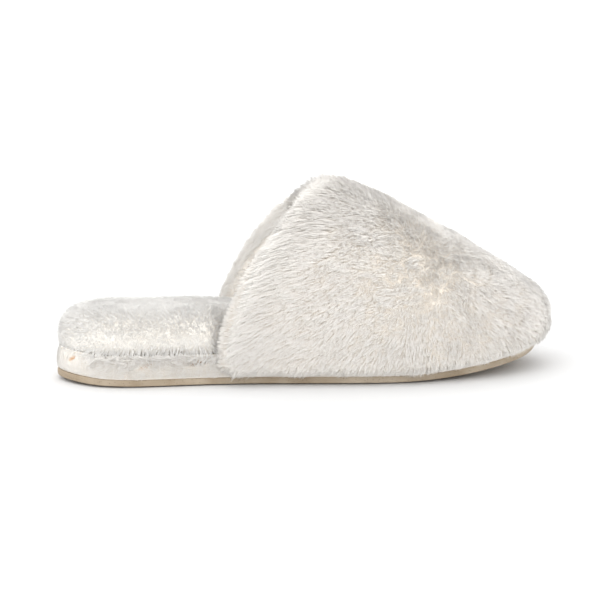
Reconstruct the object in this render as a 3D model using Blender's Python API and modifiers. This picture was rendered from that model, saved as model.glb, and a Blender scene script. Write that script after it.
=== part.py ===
"""Fluffy mule slipper for the right foot, built the way a slip-lasted slipper is made.

Frame: metres, +X towards the toe, +Y towards the big-toe side, +Z up. The origin is on the
ground under the middle of the slipper.

From the ground up: a moulded outsole with grip nubs, a foam midsole inside a plush sidewall
wrap, an insole board, a memory-foam pad and a long-pile footbed sock. The vamp is a nest of
shells over one last: the lining, then stay tape, foam interlining and toe puff end to end in
one layer, then the long-pile shell. One zigzag seam joins sock, vamp and wrap at the feather
line, which is where the upper meets the sole.
"""

import math

import bmesh
import bpy
import numpy as np

MM = 0.001
GAP = 0.3 * MM

# Plan outline of the sole: heel, outer side, toe tip, then back along the inner side.
SOLE_OUTLINE = MM * np.array(
    [
        (-133.0, 0.5),
        (-122.5, -21.5),
        (-100.5, -32.0),
        (-43.5, -34.0),
        (45.5, -45.5),
        (106.5, -28.0),
        (126.0, 8.0),
        (106.5, 37.5),
        (47.5, 46.0),
        (-43.5, 32.0),
        (-100.5, 33.0),
        (-122.5, 22.5),
    ]
)
SAMPLES_PER_SPAN = 4
TOPLINE_SAMPLE = 3 * SAMPLES_PER_SPAN
TOE_TIP_SAMPLE = 6 * SAMPLES_PER_SPAN
HEEL_TIP_X = SOLE_OUTLINE[0, 0]
TOE_TIP_X = SOLE_OUTLINE[6, 0]
HEEL_CENTRE_X = -98.5 * MM
TOE_CENTRE_X = 85.5 * MM

# The sole lifts off the ground at both ends.
TOE_SPRING = 9.5 * MM
TOE_SPRING_FROM = 35.5 * MM
HEEL_SPRING = 1.5 * MM
HEEL_SPRING_FROM = -90.5 * MM

# Heights of the bottom stack, before the spring is added.
NUB_HEIGHT = 0.7 * MM
NUB_ROOT = 1.0 * MM
NUB_RADIUS = 3.0 * MM
NUB_PITCH = 23.0 * MM
NUB_SIDES = 6
NUB_MARGIN = 6.0 * MM
OUTSOLE_THICKNESS = 3.5 * MM
WRAP_HEIGHT = 10.5 * MM
WRAP_SKIN = 1.2 * MM
WRAP_LEDGE = 6.0 * MM
WRAP_FLANGE = 13.0 * MM
MIDSOLE_INSET = 3.2 * MM
BOARD_INSET = WRAP_LEDGE + 0.5 * MM
BOARD_THICKNESS = 1.2 * MM
SEAM_ROOM = 1.2 * MM
FOAM_THICKNESS = 7.0 * MM
FOAM_INSET = 11.0 * MM
PILLOW_HEIGHT = 21.5 * MM
OUTSOLE_TOP = NUB_HEIGHT + OUTSOLE_THICKNESS
WRAP_BOTTOM = OUTSOLE_TOP + GAP
WRAP_TOP = WRAP_BOTTOM + WRAP_HEIGHT
FEATHER = WRAP_TOP + SEAM_ROOM + GAP

# The vamp's layers, as distances out from the sole's edge to each layer's inner face.
LAYER_GAP = 0.5 * MM
LINING_THICKNESS = 3.0 * MM
INTERLINING_THICKNESS = 2.6 * MM
FUR_BACKING = -1.0 * MM
INTERLINING_FACE = FUR_BACKING - LAYER_GAP - INTERLINING_THICKNESS
LINING_FACE = INTERLINING_FACE - LAYER_GAP - LINING_THICKNESS

# The ridge of the vamp, from the top of the topline forward to the nose, at the sole's edge
# distance of zero, and how the profiles rise to it from the feather line.
CREST = MM * np.array((20.5, -1.0, 91.5))
NOSE = MM * np.array((95.5, 6.0, 49.0))
RIDGE_FALL = 1.15
RIDGE_REACH = 1.25
CREST_TILT = math.radians(-6)
NOSE_TILT = math.radians(34)
NOSE_LEAN = 0.75
ARCH_POWER = 0.8
TOPLINE_RAKE = 0.6
PROFILE_STEPS = 8

# Length of the vamp's pile, and the skirt of pile that hangs over the sidewall.
PILE = 13.5 * MM
PILE_AT_FEATHER = 8.5 * MM
PILE_AT_TOE = 10.5 * MM
TOPLINE_OVERHANG = 3.0 * MM
OVERHANG_SHARE = 0.2
SKIRT_BOTTOM = WRAP_BOTTOM + 2.5 * MM
SKIRT_INSIDE = 2.6 * MM
SKIRT_OUTSIDE = 7.5 * MM

# The footbed is narrower inside the vamp than at the open heel.
SOCK_PULL = -LINING_FACE + 1.5 * MM
SOCK_PULL_FROM = -60.5 * MM
SOCK_PULL_TO = -46.5 * MM
SOCK_TOE_PULL = 10.0 * MM
SOCK_TOE_PULL_FROM = 37.5 * MM
SOCK_LOWER_FROM = -44.5 * MM
SOCK_LOWER_TO = -10.5 * MM
SOCK_FRONT_SHARE = 0.64
SOCK_TOE_SHARE = 0.74

THREAD_RADIUS = 0.35 * MM

COLOURS = {
    "rubber": (0.48, 0.41, 0.33, 1.0),
    "foam": (0.85, 0.82, 0.72, 1.0),
    "board": (0.55, 0.43, 0.30, 1.0),
    "fur": (0.86, 0.83, 0.78, 1.0),
    "plush": (0.84, 0.81, 0.75, 1.0),
    "thread": (0.80, 0.75, 0.66, 1.0),
    "tape": (0.88, 0.86, 0.82, 1.0),
}


def closed_spline(points, per_span):
    """Points of a smooth closed curve through these points, as a uniform Catmull-Rom spline."""
    before, after = np.roll(points, 1, axis=0), np.roll(points, -1, axis=0)
    beyond = np.roll(points, -2, axis=0)
    share = (np.arange(per_span) / per_span)[None, :, None]
    p0, p1, p2, p3 = (part[:, None, :] for part in (before, points, after, beyond))
    curve = 0.5 * (
        2 * p1
        + (p2 - p0) * share
        + (2 * p0 - 5 * p1 + 4 * p2 - p3) * share**2
        + (3 * p1 - p0 - 3 * p2 + p3) * share**3
    )
    return curve.reshape(-1, 2)


OUTLINE = closed_spline(SOLE_OUTLINE, SAMPLES_PER_SPAN)
ALONG = np.roll(OUTLINE, -1, axis=0) - np.roll(OUTLINE, 1, axis=0)
ALONG /= np.linalg.norm(ALONG, axis=1, keepdims=True)
OUTWARD = np.stack([ALONG[:, 1], -ALONG[:, 0]], axis=1)


def smooth_step(x, start, end):
    """0 before start, 1 after end, and a smooth ramp between."""
    t = np.clip((x - start) / (end - start), 0, 1)
    return t * t * (3 - 2 * t)


def spring(x):
    """How far the sole has lifted off the ground at x."""
    toe = np.clip((x - TOE_SPRING_FROM) / (TOE_TIP_X - TOE_SPRING_FROM), 0, 1.2)
    heel = np.clip((x - HEEL_SPRING_FROM) / (HEEL_TIP_X - HEEL_SPRING_FROM), 0, 1.2)
    return TOE_SPRING * toe**2 + HEEL_SPRING * heel**2


def raised(line, height):
    """A plan line at a height above the sprung sole, as 3-D points."""
    return np.column_stack([line, height + spring(line[:, 0])])


def edge_line(outward):
    """The sole's outline moved outwards."""
    return OUTLINE + OUTWARD * outward


def sock_line(outward, share=0.0):
    """The footbed's outline, moved outwards, then a share of the way in to its middle line."""
    pull = SOCK_PULL * smooth_step(OUTLINE[:, 0], SOCK_PULL_FROM, SOCK_PULL_TO)
    line = OUTLINE + OUTWARD * (outward - pull)[:, None]
    line[:, 0] -= SOCK_TOE_PULL * smooth_step(OUTLINE[:, 0], SOCK_TOE_PULL_FROM, TOE_TIP_X)
    mates = line[-np.arange(len(line)) % len(line)]
    middle = (line + mates) / 2
    middle[:, 0] = np.clip(middle[:, 0], HEEL_CENTRE_X, TOE_CENTRE_X)
    return line + (middle - line) * share


def material(name):
    """The plain material of that name, made once."""
    found = bpy.data.materials.get(name)
    if found is None:
        found = bpy.data.materials.new(name)
        found.use_nodes = True
        shader = found.node_tree.nodes["Principled BSDF"]
        shader.inputs["Base Color"].default_value = COLOURS[name]
        shader.inputs["Roughness"].default_value = 0.6 if name == "rubber" else 0.95
        shader.inputs["Metallic"].default_value = 0.0
    return found


def add_object(name, data, material_name, collection):
    """Links a mesh or curve as a named part with its material."""
    part = bpy.data.objects.new(name, data)
    data.materials.append(material(material_name))
    collection.objects.link(part)
    return part


def mesh_from(name, bm):
    """A mesh from a bmesh, with its normals made to point outwards."""
    bmesh.ops.recalc_face_normals(bm, faces=bm.faces)
    mesh = bpy.data.meshes.new(name)
    bm.to_mesh(mesh)
    bm.free()
    mesh.shade_smooth()
    return mesh


def bridge(bm, lower, upper):
    """Joins two closed rings of vertices with quads."""
    for i in range(len(lower)):
        j = (i + 1) % len(lower)
        bm.faces.new((lower[i], lower[j], upper[j], upper[i]))


def ladder(bm, verts):
    """Fills a closed ring with rungs, each from an outer point to its mate on the inner side."""
    count = len(verts)
    for i in range(count // 2):
        corners = [verts[i], verts[i + 1], verts[count - i - 1], verts[-i % count]]
        bm.faces.new([v for k, v in enumerate(corners) if v not in corners[:k]])


def stacked_rings(name, rings):
    """A closed mesh through a stack of rings, with a ladder over the first and the last."""
    bm = bmesh.new()
    rows = [[bm.verts.new(p) for p in points] for points in rings]
    for lower, upper in zip(rows, rows[1:]):
        bridge(bm, lower, upper)
    ladder(bm, rows[0])
    ladder(bm, rows[-1])
    return mesh_from(name, bm)


def slab(name, line, bottom, top, rim, material_name, collection):
    """A flat layer of the sole, with its rim rounded by a Bevel modifier."""
    rings = [raised(line, bottom), raised(line, top)]
    part = add_object(name, stacked_rings(name, rings), material_name, collection)
    bevel = part.modifiers.new("rounded_rim", "BEVEL")
    bevel.width = rim
    bevel.segments = 1
    bevel.limit_method = "ANGLE"
    bevel.angle_limit = math.radians(50)
    return part


def inside_line(x, y, line):
    """True if the point is inside the closed line, by counting the edges to its right."""
    ax, ay = line[:, 0], line[:, 1]
    bx, by = np.roll(ax, -1), np.roll(ay, -1)
    spans = (ay > y) != (by > y)
    crossing = ax + (y - ay) * (bx - ax) / np.where(spans, by - ay, 1.0)
    return bool(np.count_nonzero(spans & (crossing > x)) % 2)


def nub_places():
    """Where the grip nubs stand: a staggered grid inside the outline, with one at the origin."""
    margin = edge_line(-NUB_MARGIN)
    row_step = NUB_PITCH * math.sqrt(3) / 2
    reach = int(TOE_TIP_X / row_step) + 1
    places = []
    for row in range(-reach, reach + 1):
        for column in range(-3, 4):
            x, y = row * row_step, (column + 0.5 * (row % 2)) * NUB_PITCH
            if inside_line(x, y, margin):
                places.append((x, y))
    return places


def make_outsole(collection, cutters):
    """The moulded sole, with its grip nubs joined on."""
    line = edge_line(0.0)
    outsole = slab("outsole", line, NUB_HEIGHT, OUTSOLE_TOP, 0.8 * MM, "rubber", collection)
    bm = bmesh.new()
    depth = NUB_HEIGHT + NUB_ROOT
    for x, y in nub_places():
        nub = bmesh.ops.create_cone(
            bm,
            cap_ends=True,
            segments=NUB_SIDES,
            radius1=NUB_RADIUS * 0.8,
            radius2=NUB_RADIUS,
            depth=depth,
        )
        bmesh.ops.translate(bm, verts=nub["verts"], vec=(x, y, float(spring(x)) + depth / 2))
    nubs = add_object("nubs_to_join", mesh_from("nubs_to_join", bm), "rubber", cutters)
    nubs.hide_render = True
    nubs.display_type = "WIRE"
    join = outsole.modifiers.new("grip_nubs", "BOOLEAN")
    join.operation = "UNION"
    join.solver = "EXACT"
    join.object = nubs


def make_wrap(collection):
    """The plush sidewall wrap: a C-shaped section carried all round the sole."""
    ledge_bottom = WRAP_TOP - WRAP_SKIN
    flange_top = WRAP_BOTTOM + WRAP_SKIN
    section = [
        (-WRAP_FLANGE, WRAP_BOTTOM),
        (-0.8 * MM, WRAP_BOTTOM),
        (1.3 * MM, WRAP_BOTTOM + 0.28 * WRAP_HEIGHT),
        (1.5 * MM, WRAP_BOTTOM + 0.66 * WRAP_HEIGHT),
        (-0.4 * MM, WRAP_TOP),
        (-WRAP_LEDGE, WRAP_TOP),
        (-WRAP_LEDGE, ledge_bottom),
        (-2.4 * MM, ledge_bottom),
        (-1.4 * MM, WRAP_BOTTOM + 0.5 * WRAP_HEIGHT),
        (-2.4 * MM, flange_top),
        (-WRAP_FLANGE, flange_top),
    ]
    bm = bmesh.new()
    rows = [[bm.verts.new(p) for p in raised(edge_line(out), height)] for out, height in section]
    for lower, upper in zip(rows, rows[1:] + rows[:1]):
        bridge(bm, lower, upper)
    add_object("sidewall_wrap", mesh_from("sidewall_wrap", bm), "plush", collection)


def make_core(collection):
    """Midsole and insole board inside the wrap, and the memory foam on top."""
    midsole_bottom = WRAP_BOTTOM + WRAP_SKIN + GAP
    midsole_top = WRAP_TOP - WRAP_SKIN - 2 * GAP
    line = edge_line(-MIDSOLE_INSET)
    slab("midsole_foam", line, midsole_bottom, midsole_top, 1.4 * MM, "foam", collection)
    board_bottom = midsole_top + GAP
    board_top = board_bottom + BOARD_THICKNESS
    line = edge_line(-BOARD_INSET)
    slab("insole_board", line, board_bottom, board_top, 0.2 * MM, "board", collection)
    line = sock_line(-FOAM_INSET)
    slab("memory_foam", line, FEATHER, FEATHER + FOAM_THICKNESS, 1.5 * MM, "foam", collection)


def make_footbed(collection):
    """The long-pile sock: a pillow over the memory foam, with a hollow underneath for it."""
    hollow_line = sock_line(-FOAM_INSET + GAP)
    roof = FOAM_THICKNESS + GAP
    pillow = [
        (-2.5 * MM, 0.0, 0.0),
        (-1.0 * MM, 0.0, 0.18),
        (-0.8 * MM, 0.0, 0.44),
        (-2.0 * MM, 0.03, 0.68),
        (-3.0 * MM, 0.14, 0.87),
        (-3.0 * MM, 0.34, 0.97),
        (-3.0 * MM, 0.60, 1.0),
    ]
    rings = [raised(hollow_line, FEATHER + roof), raised(hollow_line, FEATHER)]
    for outward, inward_share, rise in pillow:
        line = sock_line(outward, inward_share)
        front = smooth_step(line[:, 0], SOCK_LOWER_FROM, SOCK_LOWER_TO)
        nose = smooth_step(line[:, 0], SOCK_TOE_PULL_FROM, TOE_CENTRE_X)
        top = PILLOW_HEIGHT * (1 - (1 - SOCK_FRONT_SHARE) * front)
        top *= 1 - (1 - SOCK_TOE_SHARE) * nose
        rings.append(raised(line, FEATHER + top * rise))
    add_object("footbed_fur", stacked_rings("footbed_fur", rings), "fur", collection)


def vamp_grid(low, crest, nose, overhang=0.0):
    """Points over the last: one profile for each outline sample, from feather line to ridge.

    A profile's foot is on the sole's outline and its head is on the ridge. Between them it rises
    as a quarter of a superellipse, mixed with a straight ramp so that it meets the falling ridge
    at the ridge's own slope, and leaning forward near the topline. The feet stand this far
    outside the sole's edge, and the ridge this far outside its own line at its two ends.
    """
    samples = np.arange(TOPLINE_SAMPLE, 2 * TOE_TIP_SAMPLE - TOPLINE_SAMPLE + 1)
    share = 1 - np.abs(samples - TOE_TIP_SAMPLE) / (TOE_TIP_SAMPLE - TOPLINE_SAMPLE)
    foot = raised(OUTLINE[samples] + OUTWARD[samples] * low, FEATHER)
    reach = 1 - (1 - share) ** RIDGE_REACH
    ridge = CREST + (NOSE - CREST) * np.stack([reach, reach, reach**RIDGE_FALL], axis=1)
    tilt = CREST_TILT + (NOSE_TILT - CREST_TILT) * share
    outward = (crest + (nose - crest) * share)[:, None]
    ridge += outward * np.stack([np.sin(tilt), 0 * tilt, np.cos(tilt)], axis=1)
    fall = (CREST[2] - NOSE[2]) / (NOSE[0] - CREST[0])
    lean = fall * (foot[:, 0] - ridge[:, 0]) / (ridge[:, 2] - foot[:, 2])
    lean = np.clip(lean, 0, NOSE_LEAN)[:, None]
    turn = np.linspace(0, math.pi / 2, PROFILE_STEPS + 1)[None, :]
    inward = 1 - np.cos(turn) ** ARCH_POWER
    rise = (1 - lean) * np.sin(turn) ** ARCH_POWER + lean * inward
    rake = smooth_step(share, 0.0, 0.7)[:, None]
    forward = (1 - np.cos(turn)) ** TOPLINE_RAKE * (1 - rake) + inward * rake
    mix = np.stack(np.broadcast_arrays(forward, inward, rise), axis=2)
    grid = foot[:, None, :] * (1 - mix) + ridge[:, None, :] * mix
    grid[:, :, 0] -= overhang * (1 - smooth_step(share, 0.0, OVERHANG_SHARE))[:, None]
    return grid


def even_grid(outward):
    """A vamp grid the same distance outside the last all over."""
    return vamp_grid(outward, outward, outward)


def cut_grid(grid, start, end):
    """The part of a vamp grid between two shares of the way from the topline to the toe tip.

    Rows are kept on both sides of the toe, and the rows at each cut are interpolated.
    """
    half = (len(grid) - 1) / 2
    inner_rows = np.arange(math.floor(start * half) + 1, math.ceil(end * half))
    rows = np.concatenate([[start * half], inner_rows, [end * half]])
    if end < 1:
        sides = [rows, (len(grid) - 1) - rows[::-1]]
    else:
        sides = [np.concatenate([rows, (len(grid) - 1) - rows[-2::-1]])]
    pieces = []
    for side in sides:
        low = np.minimum(side.astype(int), len(grid) - 2)
        rest = (side - low)[:, None, None]
        pieces.append(grid[low] * (1 - rest) + grid[low + 1] * rest)
    return pieces


def shell_between(name, pairs, material_name, collection):
    """A closed shell between inner and outer grids, whose halves meet along the ridge."""
    bm = bmesh.new()
    for inner, outer in pairs:
        for grid in (inner, outer):
            rows = [[bm.verts.new(p) for p in row] for row in grid]
            for near, far in zip(rows, rows[1:]):
                for i in range(len(near) - 1):
                    bm.faces.new((near[i], near[i + 1], far[i + 1], far[i]))
    bmesh.ops.remove_doubles(bm, verts=bm.verts, dist=0.01 * MM)
    bmesh.ops.bridge_loops(bm, edges=[edge for edge in bm.edges if edge.is_boundary])
    return add_object(name, mesh_from(name, bm), material_name, collection)


def with_skirt(skirt, low, crest, nose, overhang=0.0):
    """A vamp grid with two more rows of points below it, hanging over the sidewall."""
    grid = vamp_grid(low, crest, nose, overhang)
    samples = np.arange(TOPLINE_SAMPLE, 2 * TOE_TIP_SAMPLE - TOPLINE_SAMPLE + 1)
    hem = raised(OUTLINE[samples] + OUTWARD[samples] * skirt, SKIRT_BOTTOM)
    hem[:, 0] += grid[:, 0, 0] - vamp_grid(low, crest, nose)[:, 0, 0]
    brow = hem + (0, 0, FEATHER - SKIRT_BOTTOM)
    return np.concatenate([hem[:, None], brow[:, None], grid], axis=1)


def make_vamp(collection):
    """Lining, stay tape, interlining, toe puff and the long-pile shell, nested over one last."""
    inner, outer = (even_grid(LINING_FACE + depth) for depth in (0.0, LINING_THICKNESS))
    shell_between("vamp_lining", [(inner, outer)], "plush", collection)
    inner, outer = (even_grid(INTERLINING_FACE + depth) for depth in (0.0, INTERLINING_THICKNESS))
    layer = [
        ("topline_stay_tape", 0.0, 0.07, "tape"),
        ("vamp_interlining", 0.08, 0.63, "foam"),
        ("toe_puff", 0.64, 1.0, "board"),
    ]
    for name, start, end, material_name in layer:
        pairs = list(zip(cut_grid(inner, start, end), cut_grid(outer, start, end)))
        shell_between(name, pairs, material_name, collection)
    backing = with_skirt(SKIRT_INSIDE, FUR_BACKING, FUR_BACKING, FUR_BACKING)
    tips = with_skirt(SKIRT_OUTSIDE, PILE_AT_FEATHER, PILE, PILE_AT_TOE, TOPLINE_OVERHANG)
    shell_between("vamp_fur", [(backing, tips)], "fur", collection)


def make_seam(collection):
    """The zigzag thread that joins sock, vamp and wrap at the feather line."""
    outer, inner = edge_line(-1.0 * MM), edge_line(-4.6 * MM)
    line = np.where((np.arange(len(OUTLINE)) % 2)[:, None], outer, inner)
    points = raised(line, WRAP_TOP + SEAM_ROOM / 2)
    curve = bpy.data.curves.new("feather_seam_thread", "CURVE")
    curve.dimensions = "3D"
    curve.bevel_depth = THREAD_RADIUS
    curve.bevel_resolution = 1
    spline = curve.splines.new("POLY")
    spline.points.add(len(points) - 1)
    spline.points.foreach_set("co", np.column_stack([points, np.ones(len(points))]).ravel())
    spline.use_cyclic_u = True
    add_object("feather_seam_thread", curve, "thread", collection)


def scene_collection(name):
    """A new collection linked to the scene."""
    made = bpy.data.collections.new(name)
    bpy.context.scene.collection.children.link(made)
    return made


def main():
    for old in list(bpy.data.objects):
        bpy.data.objects.remove(old)
    slipper = scene_collection("fluffy_slipper")
    cutters = scene_collection("cutters")
    make_outsole(slipper, cutters)
    make_wrap(slipper)
    make_core(slipper)
    make_footbed(slipper)
    make_vamp(slipper)
    make_seam(slipper)


main()
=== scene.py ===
"""Looks of a fluffy mule slipper for the right foot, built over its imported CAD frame.

Sizes in the tables are in millimetres and everything else is in metres. +X runs towards the
toe, +Y towards the big-toe side and +Z up. The pile is real mesh: closed tapering locks that
stand for many fibres each, grown on closed pelts that take the place of the plain CAD solids.
"""

import logging
import math
from dataclasses import dataclass, field
from enum import Enum

import bmesh
import bpy
import numpy as np
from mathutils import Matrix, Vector


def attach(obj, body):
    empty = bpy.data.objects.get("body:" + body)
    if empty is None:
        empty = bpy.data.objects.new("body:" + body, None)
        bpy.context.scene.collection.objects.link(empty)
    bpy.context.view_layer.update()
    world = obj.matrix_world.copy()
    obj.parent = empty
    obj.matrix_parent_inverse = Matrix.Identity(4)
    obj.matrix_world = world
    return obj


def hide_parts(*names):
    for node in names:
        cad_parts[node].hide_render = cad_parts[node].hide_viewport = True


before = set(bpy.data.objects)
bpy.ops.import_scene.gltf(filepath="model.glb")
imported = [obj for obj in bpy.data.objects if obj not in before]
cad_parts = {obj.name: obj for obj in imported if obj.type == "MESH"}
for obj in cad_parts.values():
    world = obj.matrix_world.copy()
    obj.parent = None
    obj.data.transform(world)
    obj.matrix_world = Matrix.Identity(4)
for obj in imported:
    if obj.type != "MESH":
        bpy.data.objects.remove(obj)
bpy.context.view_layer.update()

LOG = logging.getLogger("slipper")
MM = 0.001
BODY = "root"
Array = np.ndarray
Colour = tuple[float, float, float, float]


class Side(Enum):
    """The two sides of the foot, as the sign of the walk round the outline from the toe tip."""

    OUTER = -1
    INNER = 1


class Pile(Enum):
    """The kinds of pile on the slipper."""

    VAMP = "vamp"
    SOCK = "sock"
    ROLL = "topline_roll"
    WRAP = "wrap"
    LINING = "lining"


# ---------------------------------------------------------------- small tools


def linear(hex_colour: str) -> Colour:
    """Turns an sRGB hex colour into the linear colour that a shader socket takes.

    Args:
        hex_colour: The colour as "#rrggbb".

    Returns:
        Red, green, blue and an alpha of 1.
    """
    parts = [int(hex_colour[i : i + 2], 16) / 255 for i in (1, 3, 5)]
    red, green, blue = (c / 12.92 if c <= 0.04045 else ((c + 0.055) / 1.055) ** 2.4 for c in parts)
    return red, green, blue, 1.0


def add_node(
    tree: bpy.types.NodeTree, kind: str, settings: dict | None = None, inputs: dict | None = None
) -> bpy.types.Node:
    """Adds a node, sets its settings, and sets or links its inputs.

    Args:
        tree: The node tree to add to.
        kind: The node's type.
        settings: Node properties by name; "stops" gives a colour ramp's (position, hex) pairs.
        inputs: Values or output sockets, by input name or number.

    Returns:
        The new node.
    """
    node = tree.nodes.new(kind)
    for name, value in (settings or {}).items():
        if name == "stops":
            elements = node.color_ramp.elements
            while len(elements) < len(value):
                elements.new(0.5)
            for element, (position, colour) in zip(elements, value):
                element.position, element.color = position, linear(colour)
        else:
            setattr(node, name, value)
    for name, value in (inputs or {}).items():
        if isinstance(value, bpy.types.NodeSocket):
            tree.links.new(value, node.inputs[name])
        else:
            node.inputs[name].default_value = value
    return node


def smooth_step(x: Array, start: float, end: float) -> Array:
    """Gives 0 before start, 1 after end, and the cubic 3t^2 - 2t^3 between."""
    t = np.clip((x - start) / (end - start), 0, 1)
    return t * t * (3 - 2 * t)


def unit(vectors: Array) -> Array:
    """Scales each vector to a length of 1."""
    return vectors / np.maximum(np.linalg.norm(vectors, axis=-1, keepdims=True), 1e-12)


def waves(points: Array, size: float, channels: int, seed: int, count: int = 7) -> Array:
    """Smooth noise in space: the sum of a few sine waves with random directions and phases.

    Args:
        points: Points in metres, shape (..., 3).
        size: Typical distance between a crest and the next one.
        channels: How many independent noises to give.
        seed: Seed of the directions and phases.
        count: How many waves are added in each channel.

    Returns:
        The noises, about -1 to 1, shape (..., channels).
    """
    rng = np.random.default_rng(seed)
    heading = unit(rng.normal(size=(channels * count, 3)))
    heading *= 2 * math.pi / size * rng.uniform(0.6, 1.4, (channels * count, 1))
    phase = rng.uniform(0, 2 * math.pi, channels * count)
    total = np.sin(points @ heading.T + phase)
    return total.reshape(*points.shape[:-1], channels, count).sum(axis=-1) / math.sqrt(count)


def grid_normals(grid: Array, towards: Array) -> Array:
    """Unit normals of a grid of points, from the cross product of its two directions.

    Args:
        grid: Points, shape (rows, columns, 3).
        towards: A vector at each point that the normal has to agree with.

    Returns:
        Normals of the same shape, pointing the same way as towards.
    """
    down, across = np.gradient(grid, axis=0), np.gradient(grid, axis=1)
    normal = np.cross(down, across)
    sign = np.sign(np.sum(normal * towards))
    return unit(normal * (sign if sign else 1.0))


def grid_quads(rows: int, columns: int, start: int = 0, around: bool = False) -> Array:
    """Corner numbers of the quads between neighbouring points of a grid.

    Args:
        rows: Number of rows.
        columns: Number of points in a row.
        start: Number of the grid's first point.
        around: Whether each row closes on itself.

    Returns:
        An (n, 4) array.
    """
    number = start + np.arange(rows * columns).reshape(rows, columns)
    if around:
        number = np.concatenate([number, number[:, :1]], axis=1)
    corners = [number[:-1, :-1], number[:-1, 1:], number[1:, 1:], number[1:, :-1]]
    return np.stack(corners, axis=-1).reshape(-1, 4)


def weld(points: Array, quads: Array, reach: float = 0.01 * MM) -> tuple[Array, list, Array]:
    """Merges points that coincide, so that seams and poles close.

    Args:
        points: Points, shape (n, 3).
        quads: Corner numbers, shape (m, 4).
        reach: Points in the same cell of this size are one point.

    Returns:
        The merged points, the faces (quads, and triangles where a side vanished), and the
        merged number of each point given.
    """
    cell = np.round(points / reach).astype(np.int64)
    _, first, index = np.unique(cell, axis=0, return_index=True, return_inverse=True)
    index = index.reshape(-1)
    quads = index[quads]
    same = quads == np.roll(quads, -1, axis=1)
    whole = quads[~same.any(axis=1)]
    pinched, gap = quads[same.sum(axis=1) == 1], same[same.sum(axis=1) == 1].argmax(axis=1)
    corners = (gap[:, None] + np.array([1, 2, 3])) % 4
    triangles = np.take_along_axis(pinched, corners, axis=1)
    return points[first], whole.tolist() + triangles.tolist(), index


def closed_mesh(name: str, points: Array, faces: list) -> bpy.types.Object:
    """Makes a linked object from points and faces, with its normals made to point outwards."""
    mesh = bpy.data.meshes.new(name)
    mesh.from_pydata(points.tolist(), [], faces)
    bm = bmesh.new()
    bm.from_mesh(mesh)
    bmesh.ops.recalc_face_normals(bm, faces=bm.faces)
    bm.to_mesh(mesh)
    bm.free()
    mesh.shade_smooth()
    piece = bpy.data.objects.new(name, mesh)
    bpy.context.scene.collection.objects.link(piece)
    return piece


def set_attribute(mesh: bpy.types.Mesh, name: str, values: Array) -> None:
    """Stores one number for each vertex under this name."""
    attribute = mesh.attributes.new(name, "FLOAT", "POINT")
    attribute.data.foreach_set("value", values.astype(np.float32).ravel())


def dress(piece: bpy.types.Object, finish: "Finish") -> None:
    """Gives a piece its material and its body, and reports it."""
    piece.data.materials.clear()
    piece.data.materials.append(finish.material())
    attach(piece, BODY)
    LOG.info("%s: %d faces, %s", piece.name, len(piece.data.polygons), finish.name)


# ---------------------------------------------------------------- finishes


@dataclass(frozen=True)
class Finish:
    """A finish of the slipper: a Principled shader whose colour, grain and bump a child paints."""

    name: str
    slot: str
    roughness: float = 0.85
    ior: float = 1.5

    def material(self) -> bpy.types.Material:
        """Makes the material once, and gives the same one after that.

        Returns:
            The material.
        """
        found = bpy.data.materials.get(self.name)
        if found is not None:
            return found
        made = bpy.data.materials.new(self.name)
        made.use_nodes = True
        tree = made.node_tree
        tree.nodes.clear()
        place = add_node(tree, "ShaderNodeTexCoord").outputs["Object"]
        constants = {
            "Roughness": self.roughness,
            "IOR": self.ior,
            "Metallic": 0.0,
        }
        shader = add_node(tree, "ShaderNodeBsdfPrincipled", inputs=constants)
        add_node(tree, "ShaderNodeOutputMaterial", inputs={"Surface": shader.outputs[0]})
        self.paint(tree, place, shader)
        return made

    def paint(
        self, tree: bpy.types.NodeTree, place: bpy.types.NodeSocket, shader: bpy.types.Node
    ) -> None:
        """Links the colour and the grain to the shader.

        Args:
            tree: The material's node tree.
            place: The point on the object, in metres.
            shader: The Principled shader.
        """
        raise NotImplementedError


@dataclass(frozen=True)
class FurLocks(Finish):
    """Acrylic faux-fur fibres, heat-set and brushed: matt and pale, with painted shade warming the
    roots.
    """

    # root is painted shade at the foot of the pile; body and tip are the fibres' own colour.
    root: str = "#f8ecdd"
    body: str = "#f9f3ea"
    tip: str = "#fdfbf7"
    patch_mm: float = 14.0

    def paint(
        self, tree: bpy.types.NodeTree, place: bpy.types.NodeSocket, shader: bpy.types.Node
    ) -> None:
        """Painted shade, darker and warmer towards the root, with a tint for each lock and each
        patch of pile.

        Args:
            tree: The material's node tree.
            place: The point on the object, in metres.
            shader: The Principled shader.
        """
        tone = add_node(tree, "ShaderNodeAttribute", {"attribute_name": "tone"})
        scale = {"Vector": place, "Scale": 1 / (self.patch_mm * MM), "Detail": 2.0}
        patch = add_node(tree, "ShaderNodeTexNoise", inputs=scale)
        spread = {0: patch.outputs["Fac"], 1: 0.16, 2: -0.08}
        shift = add_node(tree, "ShaderNodeMath", {"operation": "MULTIPLY_ADD"}, spread)
        total = {0: tone.outputs["Fac"], 1: shift.outputs[0]}
        level = add_node(tree, "ShaderNodeMath", {"operation": "ADD"}, total)
        # The ramp runs from painted shade at the root up to the pale tip.
        stops = [(0.0, self.root), (0.45, self.body), (1.0, self.tip)]
        ramp = add_node(tree, "ShaderNodeValToRGB", {"stops": stops}, {0: level.outputs[0]})
        tree.links.new(ramp.outputs["Color"], shader.inputs["Base Color"])


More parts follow.
